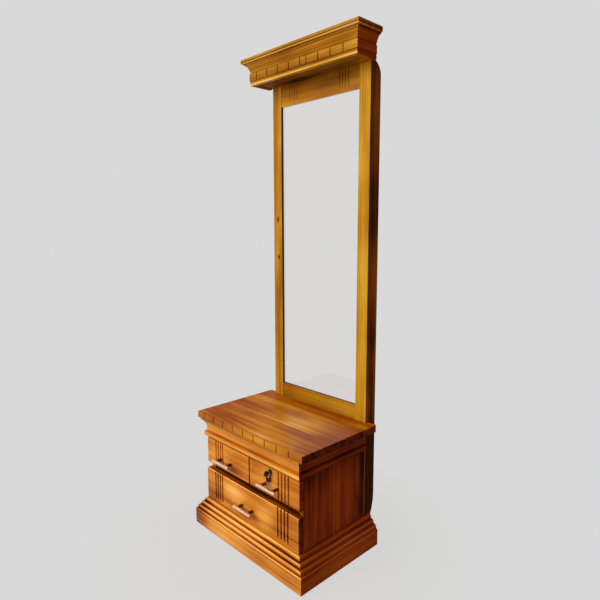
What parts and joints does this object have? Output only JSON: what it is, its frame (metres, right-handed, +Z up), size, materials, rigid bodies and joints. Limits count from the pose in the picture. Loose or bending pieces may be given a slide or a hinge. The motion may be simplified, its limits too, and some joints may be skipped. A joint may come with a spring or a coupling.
{
  "type": "dressing table with mirror",
  "caption": "Varnished teak dressing table: low cabinet with two small drawers over one wide drawer, moulded plinth, tall posts carrying a full-length mirror under a dentil cornice.",
  "frame": {"origin": "on the floor, under the middle of the bounding box", "axes": "+X to the right seen from the front, -Y towards the user in front, +Z up"},
  "size_m": [0.608, 0.44, 1.83],
  "materials": {
    "teak_front": "clear gloss varnish on golden brown teak, grain along the length",
    "teak": "clear gloss varnish on golden brown teak",
    "teak_top": "edge-jointed teak boards under clear gloss varnish",
    "inner_wood": "plain sanded hardwood, unvarnished",
    "drawer_wood": "pale sanded wood",
    "plywood": "sanded plywood",
    "handle_steel": "polished",
    "screw_steel": "zinc-plated steel",
    "lock_metal": "nickel-plated",
    "key_black": "black moulded head on a plated blade",
    "key_maroon": "dark red moulded head on a plated blade",
    "ring_steel": "plated wire",
    "mirror_glass": "silvered float glass"
  },
  "bodies": {
    "cabinet": {"back_panel": "plywood", "bottom_board": "inner_wood", "centre_partition": "inner_wood", "cornice_front": "teak_front", "cornice_soffit": "teak", "cornice_top": "teak", "crown_front": "teak_front", "divider_board": "teak", "drawer_runners": "inner_wood", "frame_screws": "screw_steel", "front_top_rail": "teak", "left_cornice_side": "teak", "left_crown_side": "teak", "left_plinth_side": "teak", "left_post": "teak", "left_rear_stile": "teak", "left_side_board": "teak", "mirror_backboard": "plywood", "mirror_bottom_rail": "teak", "mirror_glass": "mirror_glass", "mirror_top_rail": "teak", "plinth_back": "inner_wood", "plinth_front": "teak_front", "right_cornice_side": "teak", "right_crown_side": "teak", "right_plinth_side": "teak", "right_post": "teak", "right_rear_stile": "teak", "right_side_board": "teak", "table_top": "teak_top"},
    "upper_left_drawer": {"upper_left_drawer_back": "drawer_wood", "upper_left_drawer_bottom": "plywood", "upper_left_drawer_front": "teak_front", "upper_left_drawer_left_side": "drawer_wood", "upper_left_drawer_right_side": "drawer_wood", "upper_left_handle": "handle_steel", "upper_left_handle_screws": "screw_steel"},
    "upper_right_drawer": {"lock_barrel": "lock_metal", "upper_right_drawer_back": "drawer_wood", "upper_right_drawer_bottom": "plywood", "upper_right_drawer_front": "teak_front", "upper_right_drawer_left_side": "drawer_wood", "upper_right_drawer_right_side": "drawer_wood", "upper_right_handle": "handle_steel", "upper_right_handle_screws": "screw_steel"},
    "lower_drawer": {"lower_drawer_back": "drawer_wood", "lower_drawer_bottom": "plywood", "lower_drawer_front": "teak_front", "lower_drawer_left_side": "drawer_wood", "lower_drawer_right_side": "drawer_wood", "lower_handle": "handle_steel", "lower_handle_screws": "screw_steel"},
    "lock_key": {"key": "key_black", "lock_cam": "lock_metal"},
    "spare_key": {"key_ring": "ring_steel", "spare_key": "key_maroon"}
  },
  "joints": [
    {"name": "upper_left_drawer_slide", "type": "slide", "parent": "cabinet", "child": "upper_left_drawer", "axis": [0, -1, 0], "range_m": [0, 0.23]},
    {"name": "upper_right_drawer_slide", "type": "slide", "parent": "cabinet", "child": "upper_right_drawer", "axis": [0, -1, 0], "range_m": [0, 0.23]},
    {"name": "lower_drawer_slide", "type": "slide", "parent": "cabinet", "child": "lower_drawer", "axis": [0, -1, 0], "range_m": [0, 0.23]},
    {"name": "lock_turn", "type": "hinge", "parent": "upper_right_drawer", "child": "lock_key", "pos_m": [0.116, -0.1865, 0.35], "axis": [0, -1, 0], "range_deg": [0, 90]},
    {"name": "spare_key_swing", "type": "hinge", "parent": "upper_right_drawer", "child": "spare_key", "pos_m": [0.116, -0.1865, 0.35], "axis": [0, -1, 0], "range_deg": [-15, 15]}
  ]
}
